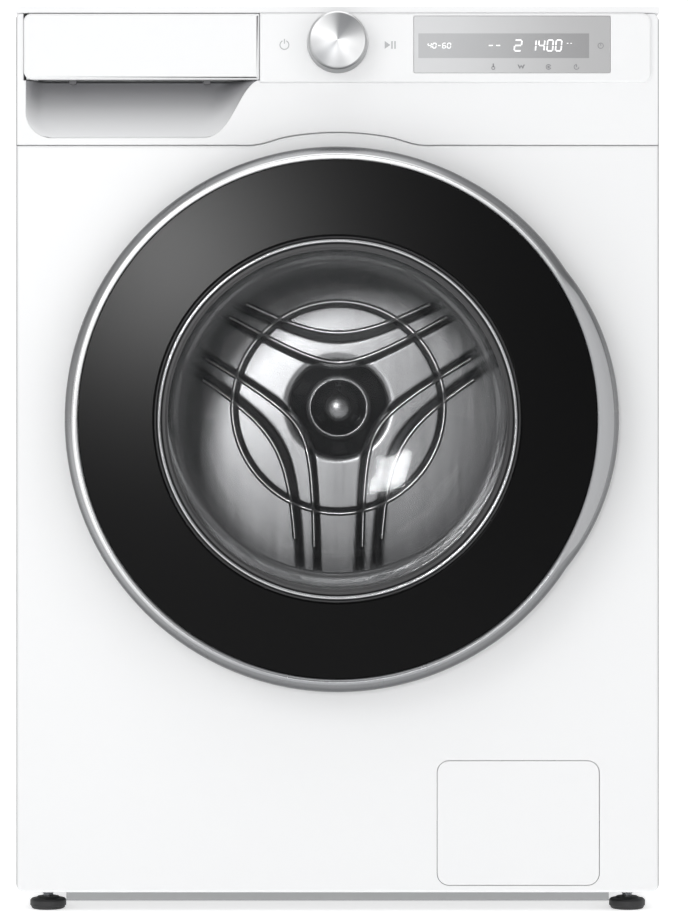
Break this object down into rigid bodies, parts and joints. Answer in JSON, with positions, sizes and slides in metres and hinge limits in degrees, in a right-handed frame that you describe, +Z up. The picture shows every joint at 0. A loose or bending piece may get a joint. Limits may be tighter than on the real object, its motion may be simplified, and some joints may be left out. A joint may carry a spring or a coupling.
{
  "type": "front load washing machine",
  "caption": "Free-standing front load washing machine with porthole door, detergent drawer, programme knob, sprung tub, belt-driven drum and levelling feet.",
  "frame": {"origin": "centre of the bounding box, on the floor under the machine", "axes": "+X to the right seen from the front, +Y into the machine (the door faces -Y), +Z up"},
  "size_m": [0.6, 0.61, 0.845],
  "materials": {
    "white_enamel": "satin white enamel",
    "white_plastic": "satin",
    "grey_plastic": "matt",
    "black_plastic": "matt",
    "foot_rubber": "matt",
    "seal_rubber": "matt",
    "silver_trim": "satin",
    "display_glass": "gloss",
    "black_glass": "gloss black backed",
    "clear_glass": "clear",
    "stainless": "fine brushed",
    "zinc_steel": "zinc plated",
    "bright_steel": "ground",
    "cast_alloy": "as cast",
    "cast_weight": "rough",
    "circuit_board": "matt"
  },
  "bodies": {
    "cabinet": {"side_panel_left": "white_enamel", "side_panel_right": "white_enamel", "rear_panel": "white_enamel", "front_panel": "white_enamel", "top_cover": "white_plastic", "control_fascia": "white_plastic", "inlet_valve": "white_plastic", "door_lock": "white_plastic", "base_tray": "grey_plastic", "drawer_housing": "grey_plastic", "drain_outlet": "grey_plastic", "knob_encoder": "black_plastic", "cord_gland": "black_plastic", "damper_cylinder_left": "black_plastic", "damper_cylinder_right": "black_plastic", "drain_pump": "black_plastic", "display_window": "display_glass", "rear_belt_cover": "zinc_steel", "door_hinge_bracket": "zinc_steel", "door_hinge_pin": "bright_steel", "control_board": "circuit_board"},
    "door": {"door_ring": "silver_trim", "door_glass_ring": "black_glass", "door_inner_frame": "grey_plastic", "door_bowl": "clear_glass", "door_hinge_leaf": "zinc_steel"},
    "latch": {"latch_hook": "zinc_steel"},
    "drawer": {"drawer_front": "white_plastic", "detergent_drawer": "grey_plastic"},
    "knob": {"programme_knob": "silver_trim"},
    "tub": {"tub_front": "grey_plastic", "tub_rear": "grey_plastic", "door_gasket": "seal_rubber", "counterweight_top": "cast_weight", "counterweight_front": "cast_weight", "gasket_clamp": "zinc_steel", "heater": "bright_steel", "damper_rod_left": "bright_steel", "damper_rod_right": "bright_steel", "bearing_front": "bright_steel", "bearing_rear": "bright_steel", "drive_motor": "black_plastic", "drive_belt": "foot_rubber", "suspension_spring_left": "zinc_steel", "suspension_spring_right": "zinc_steel", "sump_hose": "foot_rubber"},
    "drum": {"drum_shell": "stainless", "drum_back": "stainless", "drum_lifter_1": "grey_plastic", "drum_lifter_2": "grey_plastic", "drum_lifter_3": "grey_plastic", "drum_spider": "cast_alloy", "drum_pulley": "cast_alloy"},
    "motor_shaft": {"motor_pulley": "bright_steel"},
    "flap": {"filter_flap": "white_plastic"},
    "filter": {"drain_filter": "grey_plastic"},
    "foot_fl": {"foot_front_left": "foot_rubber"},
    "foot_fr": {"foot_front_right": "foot_rubber"},
    "foot_rl": {"foot_rear_left": "foot_rubber"},
    "foot_rr": {"foot_rear_right": "foot_rubber"}
  },
  "joints": [
    {"name": "door_swing", "type": "hinge", "parent": "cabinet", "child": "door", "pos_m": [-0.238, -0.293, 0.46], "axis": [0, 0, -1], "range_deg": [0, 150]},
    {"name": "latch_tip", "type": "hinge", "parent": "door", "child": "latch", "pos_m": [0.215, -0.28, 0.46], "axis": [0, 0, -1], "range_deg": [0, 8], "stiffness_Nm_per_rad": 0.5},
    {"name": "drawer_slide", "type": "slide", "parent": "cabinet", "child": "drawer", "axis": [0, -1, 0], "range_m": [0, 0.2]},
    {"name": "knob_turn", "type": "hinge", "parent": "cabinet", "child": "knob", "pos_m": [0, -0.273, 0.811], "axis": [0, -1, 0], "continuous": true},
    {"name": "tub_bounce", "type": "slide", "parent": "cabinet", "child": "tub", "axis": [0, 0, 1], "range_m": [-0.008, 0.01], "stiffness_N_per_m": 6000, "springref_m": 0.0652, "deforming": ["suspension_spring_left", "suspension_spring_right", "door_gasket", "sump_hose"]},
    {"name": "drum_spin", "type": "hinge", "parent": "tub", "child": "drum", "pos_m": [0, 0.037, 0.478], "axis": [0, 1, 0], "continuous": true},
    {"name": "motor_spin", "type": "hinge", "parent": "tub", "child": "motor_shaft", "pos_m": [-0.04, 0.237, 0.15], "axis": [0, 1, 0], "continuous": true},
    {"name": "flap_swing", "type": "hinge", "parent": "cabinet", "child": "flap", "pos_m": [0.1685, -0.2605, 0.038], "axis": [1, 0, 0], "range_deg": [0, 90]},
    {"name": "filter_turn", "type": "hinge", "parent": "cabinet", "child": "filter", "pos_m": [0.1685, -0.243, 0.084], "axis": [0, -1, 0], "range_deg": [0, 90]},
    {"name": "foot_fl_level", "type": "slide", "parent": "cabinet", "child": "foot_fl", "axis": [0, 0, -1], "range_m": [0, 0.012]},
    {"name": "foot_fr_level", "type": "slide", "parent": "cabinet", "child": "foot_fr", "axis": [0, 0, -1], "range_m": [0, 0.012]},
    {"name": "foot_rl_level", "type": "slide", "parent": "cabinet", "child": "foot_rl", "axis": [0, 0, -1], "range_m": [0, 0.012]},
    {"name": "foot_rr_level", "type": "slide", "parent": "cabinet", "child": "foot_rr", "axis": [0, 0, -1], "range_m": [0, 0.012]}
  ],
  "couplings": [
    {"joint": "motor_spin", "follows": "drum_spin", "ratio": 12.727}
  ]
}
